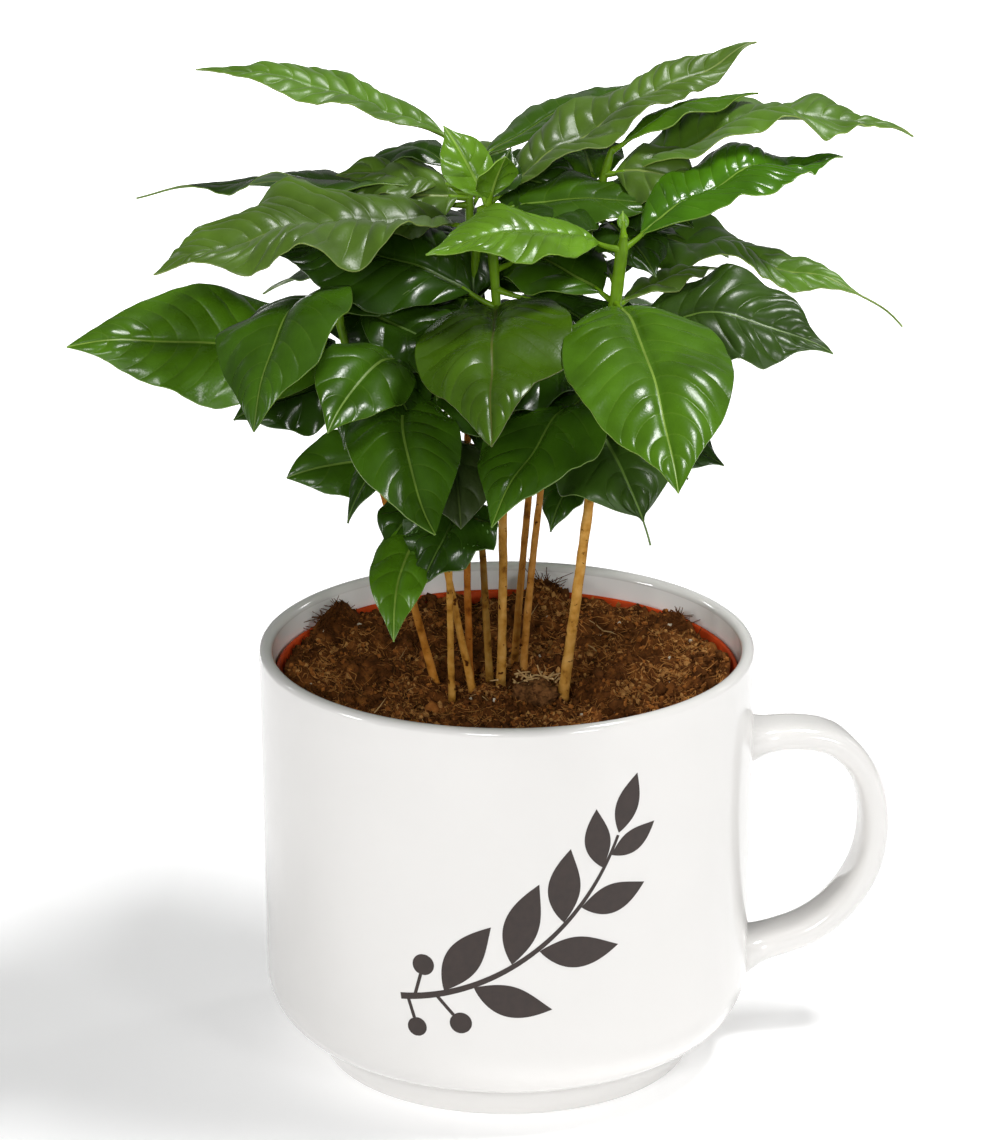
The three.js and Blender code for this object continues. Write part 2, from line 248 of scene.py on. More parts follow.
# Leaf tones: the colours of the blade and of its ribs, the least and the most roughness, the spacing of the
# side veins, how far the blade puffs up between them, and the sheen
Tone = namedtuple("Tone", "colour rib roughness spacing quilting sheen", defaults=(0,))
TONES = {
    "young": Tone((0.115, 0.25, 0.012), (0.22, 0.38, 0.04), (0.2, 0.32), 4.5, 3.2),
    "ribbed": Tone((0.05, 0.15, 0.004), (0.2, 0.34, 0.04), (0.14, 0.24), 4.8, 2.8),
    "fresh": Tone((0.06, 0.15, 0.004), (0.2, 0.32, 0.04), (0.2, 0.34), 7, 1.6),
    "mid": Tone((0.036, 0.095, 0.003), (0.13, 0.22, 0.025), (0.19, 0.32), 7, 1.1),
    "deep": Tone((0.018, 0.05, 0.002), (0.07, 0.13, 0.015), (0.17, 0.3), 6, 1.7),
    "olive": Tone((0.068, 0.135, 0.008), (0.2, 0.27, 0.06), (0.28, 0.42), 6, 3.8, 0.1),
    "silky": Tone((0.085, 0.185, 0.01), (0.24, 0.34, 0.06), (0.28, 0.42), 6, 3.6, 0.14),
    "bronze": Tone((0.046, 0.102, 0.003), (0.08, 0.1, 0.012), (0.22, 0.32), 7, 1.3),
    "dusky": Tone((0.022, 0.036, 0.006), (0.05, 0.075, 0.015), (0.35, 0.5), 7, 1.5),
    "crinkled": Tone((0.03, 0.068, 0.006), (0.11, 0.19, 0.03), (0.26, 0.38), 5.5, 3.4),
}
VEIN_PALENESS = 0.13
LEAF_SHINE = 0.4

# A leaf has the height on its stem, the turn (0 to +X, 90 to the back), the rise of the stalk, the droop from
# stalk to tip, the blade's length and width, the roll about the midrib, the stalk's length, the twist and the
# sideways curl from base to tip. Then come the tone, the size and number of the margin's waves, the place of
# a wave's crest, the fold along the midrib, the cup at the base, the thread-like share of the length at the
# tip, and how blunt the rest of the tip is.
Leaf = namedtuple(
    "Leaf",
    "height turn rise droop length width roll stalk twist curl tone wave waves crest fold cup thread blunt",
    defaults=(0, STALK_LENGTH, 0, 0, "deep", 1, WAVES_A_LEAF, None, 0, 0.1, 0, 0),
)

# Each seedling: where its stem stands, bends and ends, the stem's radius and tint, its leaves, and smaller
# leaves inside the crown. A leaf in plain brackets has the usual looks.
Seedling = namedtuple("Seedling", "foot bend top radius tint leaves inner")
SEEDLINGS = {
    "middle": Seedling((-1.6, -3.3), (0.5, -4, 185), (-5, 0, 233), 1.15, (0.88, 0.86, 0.8), [
        Leaf(205, -91, 14, 45, 77, 40, 10, tone="bronze", wave=0.4, cup=0.3, blunt=0.7),
        (197, -45, 0, 35, 24, 14),
        Leaf(205, 172, 30, 40, 55, 37, -30, 8, wave=0.5),
        Leaf(232, 150, 60, 10, 21, 14, -30, 2, tone="young", wave=0.3),
        Leaf(232, 60, 52, 15, 15, 12, 20, 2, wave=0.3),
    ], [
        (210, -15, -12, 25, 36, 20, 25), (188, -70, -5, 45, 36, 22), (194, -135, -5, 45, 30, 18),
        (215, 40, 10, 40, 32, 18), Leaf(232, -53, 67, 10, 14, 13, 0, 2, tone="young", wave=0.3, blunt=0.8),
    ]),
    "right": Seedling((14.4, -11.4), (23.5, -13, 175), (29.5, -14, 228), 1.35, (1, 1, 1), [
        Leaf(224, 34, 28, 39, 65, 28, 7, tone="ribbed", fold=0.15),
        Leaf(224, -157, 22, 38, 48, 29, -11, tone="young", wave=0.7),
        Leaf(210, -80, 6, 50, 80, 42, tone="fresh", wave=0.35, cup=0.15, blunt=0.6),
        Leaf(209, 35, 19, 25, 31, 13, -6, 3, tone="olive"),
        Leaf(201, -8, 22, 58, 51, 32, 32, 8, tone="crinkled", wave=1.4, crest=0.55),
        Leaf(210, 137, 22, 35, 38, 25, -20, 5, tone="mid"),
        Leaf(188, -118, 1, 42, 59, 31, tone="mid", wave=0.6, blunt=0.4),
        (188, 75, 10, 50, 60, 25),
        Leaf(176, -82, 5, 72, 40, 33, 18, curl=30, tone="crinkled", thread=0.18, blunt=0.9),
        (175, -8, 3, 40, 27, 19, 25),
        (172, 80, 5, 50, 45, 19),
        Leaf(227, 95, 75, 5, 5, 3, 0, 2, tone="young", wave=0.3),
    ], [
        (195, -150, 0, 40, 34, 22, -10), (168, -122, -10, 60, 20, 12), (214, 100, 5, 40, 34, 20),
    ]),
    "rear_right": Seedling((4.2, 7.9), (9, 11, 180), (27, 15, 243), 0.95, (0.92, 0.8, 0.75), [
        Leaf(231, 14, 33, 58, 82, 27, 2, tone="silky", wave=1.4, waves=4, crest=0.55, fold=0.12),
        Leaf(242, 25, 27, 30, 40, 16, -8, 4, tone="fresh"),
        Leaf(230, 100, 25, 25, 24, 20, tone="fresh"),
        (229, -122, 5, 35, 34, 24, -5),
        Leaf(202, 140, 8, 45, 75, 32, tone="mid"),
        (166, 10, 0, 50, 34, 19),
        (166, 150, 8, 60, 50, 21),
    ], [
        (225, -60, 0, 40, 26, 20), (190, -80, -5, 45, 40, 24), (214, 170, 5, 40, 36, 22),
        (218, 40, 5, 45, 46, 24), (184, 100, 0, 50, 40, 22), (232, -20, 0, 40, 24, 22, 30, 3),
        Leaf(236, -15, 12, 40, 24, 22, 30, 3, tone="olive"),
    ]),
    "rear": Seedling((-4.5, 3.1), (-9, 8, 180), (-10, 20, 243), 0.95, (0.62, 0.62, 0.55), [
        Leaf(242, 176, 24, 20, 66, 20, -10, tone="silky", wave=0.4, fold=0.22),
        Leaf(237, 47, 14, 18, 70, 18, tone="mid", wave=0.6),
        Leaf(230, 172, 6, 20, 81, 24, 12, tone="mid", wave=1.4, thread=0.1),
        Leaf(231, 172, 12, 20, 28, 22, -15, tone="olive"),
        Leaf(226, 75, 8, 40, 80, 34, tone="olive"),
        (233, 140, 22, 60, 30, 18),
        Leaf(196, 110, 5, 50, 68, 29, tone="mid"),
    ], [
        (215, -150, 0, 35, 45, 26, -10), (205, -100, 0, 40, 45, 26), (212, 100, 8, 45, 52, 26),
        (182, 130, 0, 50, 44, 22), (186, 60, 0, 50, 40, 22), (234, -10, 5, 35, 32, 22, 30, 3),
        Leaf(229, -172, 5, 15, 30, 24, -40, 3, tone="olive"), (222, -85, -30, 60, 18, 22, 0, 3),
        Leaf(227, 174, 2, 15, 52, 24, -20, tone="mid"),
    ]),
    "rear_left": Seedling((-9.7, 3.1), (-12, 4, 170), (-7, 8, 229), 0.95, (0.85, 0.58, 0.4), [
        Leaf(
            224, -158, 12, 30, 82, 42, -3, twist=-8, tone="olive", wave=1.8, crest=0.6, fold=0.06, cup=0.2,
            blunt=0.8,
        ),
        Leaf(228, 27, 32, 22, 81, 23, 5, tone="olive", fold=0.2),
        Leaf(206, 140, 10, 45, 70, 29, tone="mid"),
        (210, 8, 5, 30, 18, 13, 20),
        (200, 176, -2, 25, 22, 14, -25),
        (197, -95, 0, 30, 24, 12),
        (186, 160, 5, 50, 58, 24),
    ], [
        Leaf(227, -5, 15, 25, 42, 24, 20, tone="mid"), (200, -60, -5, 40, 40, 24), (210, 170, 0, 45, 46, 24),
        (196, 115, 0, 50, 44, 22), (176, -160, -5, 50, 34, 18), (205, 176, -2, 20, 38, 26, -40),
    ]),
    "left": Seedling((-18.7, 0.9), (-35, -1, 165), (-44, -4, 208), 1.05, (0.95, 0.75, 0.55), [
        Leaf(207, -114, 22, 86, 60, 36, 18, curl=12, tone="mid", wave=0.5, cup=0.2, blunt=0.5),
        Leaf(203, 85, -5, 40, 50, 21, tone="mid"),
        Leaf(189, -167, 21, 26, 72, 34, -44, 3, tone="fresh", wave=0.7, fold=-0.12, blunt=0.5),
        (186, -152, 0, 20, 33, 24, -35, 2),
        (180, 80, 0, 45, 48, 20),
    ], [
        (206, -25, -5, 35, 34, 24, 25), (195, -60, 0, 45, 34, 22, 10), (192, 130, 0, 45, 40, 20),
        (174, 60, -5, 50, 34, 18),
    ]),
    "front_left": Seedling((-8.6, -7.3), (-19, -9, 150), (-24, -13, 195), 0.95, (0.95, 0.88, 0.75), [
        Leaf(194, -115, 20, 60, 45, 24, -25, tone="mid", wave=0.5, blunt=0.5),
        Leaf(188, -102, -1, 41, 57, 29, curl=42, tone="mid", wave=0.4, blunt=0.9),
        Leaf(166, -172, 9, 32, 30, 20, -45, tone="mid", wave=0.5, blunt=0.9),
        Leaf(176, -128, -6, 62, 30, 10, wave=0.5),
    ], [
        (186, -146, -10, 50, 19, 20, -25), (190, -40, -5, 40, 30, 18, 10), (178, 120, 0, 50, 34, 18),
    ]),
    "low": Seedling((-14.3, -12.4), (-15, -17, 135), (-15, -22, 180), 0.85, (0.98, 0.95, 0.85), [
        Leaf(179, -84, -8, 40, 31, 21, tone="dusky", wave=0.6, blunt=1),
        Leaf(162, -80, -2, 55, 31, 25, curl=-60, wave=1.5, waves=4, blunt=0.9),
        (161, -132, -5, 45, 19, 16, -20),
        Leaf(157, -119, -2, 52, 45, 17, curl=30, tone="fresh", wave=0.5, blunt=0.5),
    ], [
        (172, 70, -5, 45, 26, 15), (172, 150, -5, 50, 28, 15),
    ]),
    "back": Seedling((1.8, 11.4), (6, 20, 160), (14, 28, 217), 0.95, (0.7, 0.6, 0.5), [
        Leaf(213, -15, 11, 44, 88, 25, 2, tone="silky", wave=2, waves=2.2, crest=0.5, thread=0.15),
        Leaf(205, 120, 15, 45, 75, 32, tone="mid"),
        Leaf(190, 45, 5, 45, 70, 29, tone="mid"),
        (172, 95, 0, 60, 55, 23),
    ], [
        (200, -60, 0, 40, 45, 26, 10), (185, -110, 0, 45, 45, 26), (208, -170, 5, 35, 45, 26, -10),
        Leaf(214, 75, 15, 50, 48, 24, tone="mid"), (194, 150, 0, 50, 46, 24), (180, 20, 0, 50, 44, 22),
    ]),
}


# Small helpers
def smoothstep(value, low, high):
    share = np.clip((value - low) / (high - low), 0, 1)
    return share * share * (3 - 2 * share)


def chance(seed):
    """A source of random numbers that are the same in each run."""
    return np.random.default_rng([SEED, seed])


def unit(vectors):
    return vectors / np.linalg.norm(vectors, axis=-1, keepdims=True)


def ripple(points, size, seed):
    """A smooth random field, about -1 to 1, with hills about that size apart."""
    rng = chance(seed)
    directions = unit(rng.normal(size=(RIPPLE_WAVES, points.shape[-1])))
    waves = directions * 2 * np.pi / (size * rng.uniform(*RIPPLE_SPREAD, (RIPPLE_WAVES, 1)))
    phases = rng.uniform(0, 2 * np.pi, RIPPLE_WAVES)
    return np.cos(points @ waves.T + phases).sum(-1) * math.sqrt(2 / RIPPLE_WAVES)


def full_turn(count):
    """Even angles round a circle."""
    return np.arange(count) * 2 * np.pi / count


def polar(radius, angle, height):
    """Points from a distance from the axis, an angle round it and a height."""
    return np.stack(np.broadcast_arrays(radius * np.cos(angle), radius * np.sin(angle), height), -1)


def add_object(name, data):
    added = bpy.data.objects.new(name, data)
    bpy.context.scene.collection.objects.link(added)
    return added


class Heap:
    """Points and faces of one mesh, each face with the name of its material."""

    def __init__(self):
        self.points = []
        self.faces = []
        self.paints = []

    def add(self, points, faces, paints):
        first = sum(len(some) for some in self.points)
        self.points.append(np.asarray(points, float).reshape(-1, 3))
        self.faces.extend([[corner + first for corner in face] for face in faces])
        self.paints.extend([paints] * len(faces) if isinstance(paints, str) else paints)

    def build(self, name, replaced=(), slot=None, smooth=True):
        """The mesh as a piece that rides with the part and stands for the replaced nodes."""
        mesh = bpy.data.meshes.new(name)
        mesh.from_pydata((np.concatenate(self.points) * MM).tolist(), [], self.faces)
        names = sorted(set(self.paints))
        for paint in names:
            mesh.materials.append(bpy.data.materials[paint])
        mesh.polygons.foreach_set("material_index", [names.index(paint) for paint in self.paints])
        mesh.polygons.foreach_set("use_smooth", [smooth] * len(self.faces))
        piece = add_object(name, mesh)
        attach(piece, "root")
        if replaced:
            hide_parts(*replaced)


def grid_faces(rows, columns, closed=False):
    """Quads between the points of a grid, row by row; a closed grid joins its last column to its first."""
    across = columns if closed else columns - 1
    row, column = np.meshgrid(np.arange(rows - 1), np.arange(across), indexing="ij")
    here = row * columns + column
    beside = row * columns + (column + 1) % columns
    return np.stack([here, here + columns, beside + columns, beside], -1).reshape(-1, 4).tolist()


def plate(heap, top, bottom, paints):
    """A thin closed shape between two grids, with the paints of its upper and lower faces and of its rim."""
    count, columns = top.shape[:2]
    below = count * columns
    upper = grid_faces(count, columns)
    lower = [[corner + below for corner in face[::-1]] for face in upper]
    grid = np.arange(below).reshape(count, columns)
    loop = np.concatenate([grid[::-1, 0], grid[0, 1:], grid[1:, -1], grid[-1, -2:0:-1]]).tolist()
    rim = [[a, b, b + below, a + below] for a, b in zip(loop, loop[1:] + loop[:1])]
    dealt = [*paints[0], *paints[1], *[paints[2]] * len(rim)]
    heap.add(np.concatenate([top.reshape(-1, 3), bottom.reshape(-1, 3)]), upper + lower + rim, dealt)


def tube(heap, rings, paints):
    """A closed tube through rings of points, with a flat face at each end and one paint or one a step."""
    steps, sides = rings.shape[:2]
    faces = [face[::-1] for face in grid_faces(steps, sides, closed=True)]
    ends = [list(range(sides))[::-1], [(steps - 1) * sides + side for side in range(sides)]]
    paints = [paints] * len(faces) if isinstance(paints, str) else list(np.repeat(paints, sides))
    heap.add(rings, faces + ends, paints + [paints[0], paints[-1]])


def rings_along(line, radii, sides):
    """Rings of points round a line, square to it."""
    along = unit(np.gradient(line, axis=0))
    # Any direction that is well off the line will do
    aside = (0.31, 0.17, 0.93) if abs(along[0, 2]) < 0.9 else (1, 0.2, 0)
    first = unit(np.cross(along, aside))
    second = np.cross(along, first)
    angle = full_turn(sides)
    spokes = np.cos(angle)[:, None] * first[:, None] + np.sin(angle)[:, None] * second[:, None]
    return line[:, None] + spokes * np.asarray(radii)[:, None, None]


def turned(heap, profile, paints):
    """A turned body from (radius, height) points, with a flat face at each end."""
    profile = np.array(profile, float)
    tube(heap, polar(profile[:, 0, None], full_turn(MUG_SIDES), profile[:, 1, None]), paints)


def arc(radius, height, bend, start, stop, steps):
    angles = np.radians(np.linspace(start, stop, steps))
    return [(radius + bend * math.cos(a), height + bend * math.sin(a)) for a in angles]


# Materials
def shader(name):
    material = bpy.data.materials.new(name)
    material.use_nodes = True
    return material.node_tree.nodes, material.node_tree.links


def fill(node, values):
    """Sets a node's sockets by their names, in which _ may stand for a space."""
    for socket, value in values.items():
        node.inputs[socket.replace("_", " ")].default_value = value


def texture(nodes, links, kind, size, **values):
    """A texture over the object's own coordinates, with features of about that size."""
    place = nodes.new("ShaderNodeTexCoord")
    pattern = nodes.new(kind)
    fill(pattern, {"Scale": 1 / (size * MM), **values})
    links.new(place.outputs["Object"], pattern.inputs["Vector"])
    return pattern


def ramp(nodes, links, source, stops):
    """Colours laid along a texture's value."""
    colours = nodes.new("ShaderNodeValToRGB")
    elements = colours.color_ramp.elements
    while len(elements) < len(stops):
        elements.new(0.5)
    for element, (position, colour) in zip(elements, stops):
        element.position = position
        element.color = (*colour, 1)
    links.new(source, colours.inputs["Fac"])
    return colours.outputs["Color"]


def bump(nodes, links, source, height, below=None):
    node = nodes.new("ShaderNodeBump")
    fill(node, {"Strength": 1, "Distance": height * MM})
    links.new(source, node.inputs["Height"])
    if below:
        links.new(below, node.inputs["Normal"])
    return node.outputs["Normal"]


def mottled(name, stops, size, roughness, relief, relief_size, **sockets):
    """A material with a drifting colour, an uneven gloss and a fine relief."""
    nodes, links = shader(name)
    surface = nodes["Principled BSDF"]
    drift = texture(nodes, links, "ShaderNodeTexNoise", size, Detail=4.0)
    links.new(ramp(nodes, links, drift.outputs["Fac"], stops), surface.inputs["Base Color"])
    gloss = texture(nodes, links, "ShaderNodeTexNoise", size / 2, Detail=2.0)
    uneven = nodes.new("ShaderNodeMapRange")
    fill(uneven, {"To Min": roughness[0], "To Max": roughness[1]})
    links.new(gloss.outputs["Fac"], uneven.inputs["Value"])
    links.new(uneven.outputs["Result"], surface.inputs["Roughness"])
    grain = texture(nodes, links, "ShaderNodeTexNoise", relief_size, Detail=3.0)
    links.new(bump(nodes, links, grain.outputs["Fac"], relief), surface.inputs["Normal"])
    fill(surface, sockets)
    return nodes, links, surface


def shades(colour, *stops):
    """Stops of a ramp from a colour, each with its position and brightness."""
    return [(position, tuple(channel * by for channel in colour)) for position, by in stops]


def leaf_material(name, colour, tone):
    """A leaf's upper side: waxy, with a net of the finest veins."""
    stops = shades(colour, (0.3, 0.72), (0.5, 1), (0.72, 1.3))
    gloss = {"Specular_IOR_Level": LEAF_SHINE, "Sheen_Weight": tone.sheen}
    nodes, links, surface = mottled(name, stops, 14, tone.roughness, 0.02, 0.6, **gloss)
    net = texture(nodes, links, "ShaderNodeTexVoronoi", 1.1)
    net.feature = "DISTANCE_TO_EDGE"
    below = surface.inputs["Normal"].links[0].from_socket
    links.new(bump(nodes, links, net.outputs["Distance"], 0.03, below), surface.inputs["Normal"])


def leaf_materials():
    for name, tone in TONES.items():
        vein = tuple(a + VEIN_PALENESS * (b - a) for a, b in zip(tone.colour, tone.rib))
        leaf_material(f"leaf_{name}", tone.colour, tone)
        leaf_material(f"vein_{name}", vein, tone)
        mottled(f"rib_{name}", shades(tone.rib, (0.35, 0.8), (0.65, 1.15)), 6, (0.3, 0.45), 0.04, 0.5)
    under = shades((0.1, 0.2, 0.045), (0.3, 0.8), (0.7, 1.15))
    mottled("underside", under, 10, (0.5, 0.65), 0.06, 0.7)
    green = shades((0.13, 0.26, 0.006), (0.3, 0.75), (0.7, 1.2))
    mottled("green_shoot", green, 5, (0.3, 0.45), 0.05, 0.6, Specular_IOR_Level=0.2)


BARK_STOPS = [
    (0.28, (0.2, 0.08, 0.012)),
    (0.42, (0.48, 0.23, 0.04)),
    (0.62, (0.62, 0.33, 0.08)),
    (0.8, (0.7, 0.42, 0.14)),
]


def bark_material(name, tint):
    """Young bark with dark specks, in one stem's own tint."""
    stops = [(position, tuple(np.multiply(colour, tint))) for position, colour in BARK_STOPS]
    nodes, links, surface = mottled(name, stops, 3, (0.6, 0.8), 0.12, 0.5, Specular_IOR_Level=0.05)
    colours = surface.inputs["Base Color"].links[0].from_socket
    specks = texture(nodes, links, "ShaderNodeTexNoise", 1.6, Detail=2.0)
    dark = ramp(nodes, links, specks.outputs["Fac"], [(0.66, (1, 1, 1)), (0.72, (0.16, 0.1, 0.06))])
    mix = nodes.new("ShaderNodeMix")
    mix.data_type = "RGBA"
    mix.blend_type = "MULTIPLY"
    mix.inputs["Factor"].default_value = 1
    links.new(colours, mix.inputs["A"])
    links.new(dark, mix.inputs["B"])
    links.new(mix.outputs["Result"], surface.inputs["Base Color"])


def bark_materials():
    for name, plant in SEEDLINGS.items():
        bark_material(f"young_bark_{name}", plant.tint)


# What lies on the soil: two colours, the size of the drift between them, roughness, relief and relief's size
STREWN = {
    "dark_crumb": ((0.06, 0.022, 0.006), (0.15, 0.052, 0.014), 2, (0.85, 1.0), 0.3, 0.5),
    "red_crumb": ((0.2, 0.066, 0.014), (0.4, 0.15, 0.035), 2, (0.85, 1.0), 0.3, 0.5),
    "pale_crumb": ((0.3, 0.13, 0.035), (0.52, 0.27, 0.09), 2, (0.8, 1.0), 0.2, 0.5),
    "fibre": ((0.28, 0.1, 0.024), (0.6, 0.28, 0.08), 3, (0.6, 0.8), 0.05, 0.3),
    "straw": ((0.42, 0.24, 0.09), (0.62, 0.42, 0.2), 3, (0.6, 0.8), 0.05, 0.4),
    "perlite": ((0.5, 0.42, 0.3), (0.75, 0.68, 0.55), 1, (0.6, 0.8), 0.1, 0.3),
}


def soil_materials():
    dull = {"Specular_IOR_Level": 0.05}
    peat = [(0.3, (0.04, 0.014, 0.004)), (0.5, (0.12, 0.04, 0.01)), (0.72, (0.26, 0.095, 0.022))]
    mottled("peat", peat, 4, (0.85, 1.0), 0.5, 0.8, **dull)
    husk = [(0.35, (0.06, 0.024, 0.008)), (0.65, (0.22, 0.095, 0.032))]
    mottled("husk", husk, 1.2, (0.8, 1.0), 0.6, 0.7, **dull)
    for name, (dark, pale, *surface) in STREWN.items():
        mottled(name, [(0.3, dark), (0.7, pale)], *surface, **dull)


def pot_materials():
    red = shades((0.55, 0.06, 0.01), (0.3, 0.75), (0.55, 1), (0.75, 1.25))
    mottled("red_plastic", red, 9, (0.45, 0.6), 0.03, 0.8, Specular_IOR_Level=0.08)
    coat = {"Coat_Weight": 0.4, "Coat_Roughness": 0.06}
    white = shades((0.775, 0.76, 0.74), (0.35, 0.985), (0.65, 1))
    mottled("mug_glaze", white, 30, (0.1, 0.16), 0.02, 5, **coat)
    # The inside's glaze is paler than the outer glaze. This is painted light: it brightens the inner wall,
    # where little lamp light reaches.
    pale = shades((0.94, 0.93, 0.91), (0.35, 0.985), (0.65, 1))
    mottled("inner_glaze", pale, 30, (0.2, 0.3), 0.02, 5, **coat)
    brown = shades((0.022, 0.012, 0.009), (0.3, 1), (0.7, 1.4))
    mottled("brown_print", brown, 2, (0.3, 0.4), 0.01, 1)


def floor_material():
    pale = shades((0.9, 0.9, 0.9), (0.3, 0.99), (0.7, 1))
    glow = {"Emission_Color": (1, 1, 1, 1), "Emission_Strength": 0.3}
    mottled("pale_floor", pale, 200, (0.8, 0.9), 0.01, 10, **glow)


# Mug
def wall_radius(height):
    """The mug's outer radius on its nearly straight wall."""
    share = (height - BELLY_TOP) / (MUG_HEIGHT - MUG_WALL / 2 - BELLY_TOP)
    return BELLY_RADIUS + (MUG_RIM_RADIUS - BELLY_RADIUS) * share


def spline(points, steps):
    """A smooth line through given points."""
    points = np.array(points, float)
    padded = np.vstack([2 * points[0] - points[1], points, 2 * points[-1] - points[-2]])
    place = np.linspace(0, len(points) - 1, steps)
    index = np.minimum(place.astype(int), len(points) - 2)
    t = (place - index)[:, None]
    a, b, c, d = (padded[index + offset] for offset in range(4))
    return 0.5 * (2 * b + (c - a) * t + (2 * a - 5 * b + 4 * c - d) * t**2 + (3 * b - a - 3 * c + d) * t**3)


def mug_body(heap):
    lip = MUG_WALL / 2
    belly = BELLY_RADIUS - BELLY_BEND
    wall = np.linspace(BELLY_TOP, MUG_HEIGHT - lip, 14)[1:-1]
    outer = [(wall_radius(height), height) for height in wall]
    inner = [(wall_radius(height) - MUG_WALL, height) for height in wall[::-1]]
    outside = [
        *arc(FOOT_RADIUS - FOOT_ROUNDING, FOOT_ROUNDING, FOOT_ROUNDING, -90, 0, 6),
        *arc(belly, BELLY_TOP, BELLY_BEND, BELLY_FOOT_ANGLE, 0, 20),
        *outer,
        *arc(MUG_RIM_RADIUS - lip, MUG_HEIGHT - lip, lip, 0, 180, 16),
    ]
    inside = [
        *inner,
        *arc(belly, BELLY_TOP, BELLY_BEND - MUG_WALL, 0, BELLY_FOOT_ANGLE, 12),
        (belly, MUG_FLOOR),
    ]
    # The inner wall takes the paler glaze, which is painted light.
    paints = ["mug_glaze"] * (len(outside) - 1) + ["inner_glaze"] * len(inside)
    turned(heap, outside + inside, paints)


def mug_handle(heap):
    """A strap with round edges that widens where it grows out of the wall."""
    line = spline(HANDLE_LINE, HANDLE_STEPS)
    along = unit(np.gradient(line, axis=0))
    outward = np.stack([along[:, 1], -along[:, 0]], -1)
    travelled = np.concatenate([[0], np.cumsum(np.linalg.norm(np.diff(line, axis=0), axis=1))])
    from_wall = np.minimum(travelled, travelled[-1] - travelled)
    flare = 1 + HANDLE_FLARE * np.exp(-((from_wall / HANDLE_FLARE_LENGTH) ** 2))
    angle = full_turn(HANDLE_SIDES)
    across = HANDLE_WIDTH / 2 * np.sign(np.cos(angle)) * np.abs(np.cos(angle)) ** HANDLE_WIDTH_POWER
    deep = HANDLE_THICKNESS / 2 * np.sign(np.sin(angle)) * np.abs(np.sin(angle)) ** HANDLE_THICKNESS_POWER
    out = line[:, 0, None] + flare[:, None] * outward[:, 0, None] * deep
    height = line[:, 1, None] + flare[:, None] * outward[:, 1, None] * deep
    side = flare[:, None] * across + 0 * out
    turn = math.radians(HANDLE_TURN)
    x = out * math.cos(turn) - side * math.sin(turn)
    y = out * math.sin(turn) + side * math.cos(turn)
    tube(heap, np.stack([x, y, height], -1), "mug_glaze")


def mug():
    heap = Heap()
    mug_body(heap)
    mug_handle(heap)
    heap.build("mug_glazed", ["mug"], "white_glaze")


def print_shape(heap, line, half):
    """A thin layer of print on the mug's wall, about a line given along the wall and in height."""
    along = unit(np.gradient(line, axis=0))
    square = np.stack([-along[:, 1], along[:, 0]], -1)
    across = np.linspace(1, -1, PRINT_COLUMNS)
    spread = line[:, None] + square[:, None] * (half[:, None] * across)[..., None]
    around, height = spread[..., 0], spread[..., 1]
    wall = wall_radius(height)
    angle = around / wall - np.pi / 2
    outer, inner = (polar(wall + rise, angle, height) for rise in (PRINT_RISE, -PRINT_RISE))
    ink = ["brown_print"] * (len(line) - 1) * (PRINT_COLUMNS - 1)
    plate(heap, outer, inner, (ink, ink, "brown_print"))


def walk(start, turns, length):
    """A flat line of that length from the start, whose direction follows the turns."""
    return start + np.cumsum(np.stack([np.cos(turns), np.sin(turns)], -1) * length / len(turns), axis=0)


def mug_print():
    """A plain sprig of leaves and berries on the mug's front."""
    heap = Heap()
    share = np.linspace(0, 1, SPRIG_STEPS)
    bend = np.radians(SPRIG_START + SPRIG_SWEEP * share)
    stem = walk(np.array(SPRIG_FOOT), bend, SPRIG_LENGTH)
    print_shape(heap, stem, SPRIG_HALF_WIDTH - SPRIG_TAPER * share)
    steps = np.linspace(0.001, 0.999, SPRIG_LEAF_STEPS)
    for place, lean, length, width in SPRIG_LEAVES:
        index = round(place * (SPRIG_STEPS - 1))
        turns = bend[index] + math.radians(lean) * (1 - SPRIG_LEAF_BEND * steps)
        half = width / 2 * np.sin(np.pi * steps**SPRIG_LEAF_SKEW)
        print_shape(heap, walk(stem[index], turns, length), half)
    for place, lean, distance, size in SPRIG_BERRIES:
        index = round(place * (SPRIG_STEPS - 1))
        turn = bend[index] + math.radians(lean)
        way = np.array([math.cos(turn), math.sin(turn)])
        stalk_line = stem[index] + np.linspace(0, distance, BERRY_STALK_STEPS)[:, None] * way
        print_shape(heap, stalk_line, np.full(BERRY_STALK_STEPS, BERRY_STALK_HALF_WIDTH))
        berry_line = stem[index] + (distance + size * steps)[:, None] * way
        print_shape(heap, berry_line, size * np.sqrt(steps * (1 - steps)))
    heap.build("mug_sprig", slot="white_glaze", smooth=False)


def nursery_pot():
    heap = Heap()
    floor = MUG_FLOOR + GAP
    collar = POT_RIM_RADIUS - POT_COLLAR_INSET
    lip = POT_WALL / 2
    turned(heap, [
        (POT_BOTTOM_RADIUS, floor),
        (collar, POT_COLLAR_BOTTOM),
        (POT_RIM_RADIUS - POT_BEVEL, POT_COLLAR_BOTTOM),
        (POT_RIM_RADIUS, POT_COLLAR_BOTTOM + POT_BEVEL),
        *arc(POT_RIM_RADIUS - lip, POT_RIM_TOP - lip, lip, 0, 180, 8),
        (collar - POT_WALL, POT_COLLAR_BOTTOM),
        (POT_BOTTOM_RADIUS - POT_WALL, floor + POT_WALL),
    ], "red_plastic")
    heap.build("nursery_pot_shell", ["nursery_pot"], "terracotta_plastic")


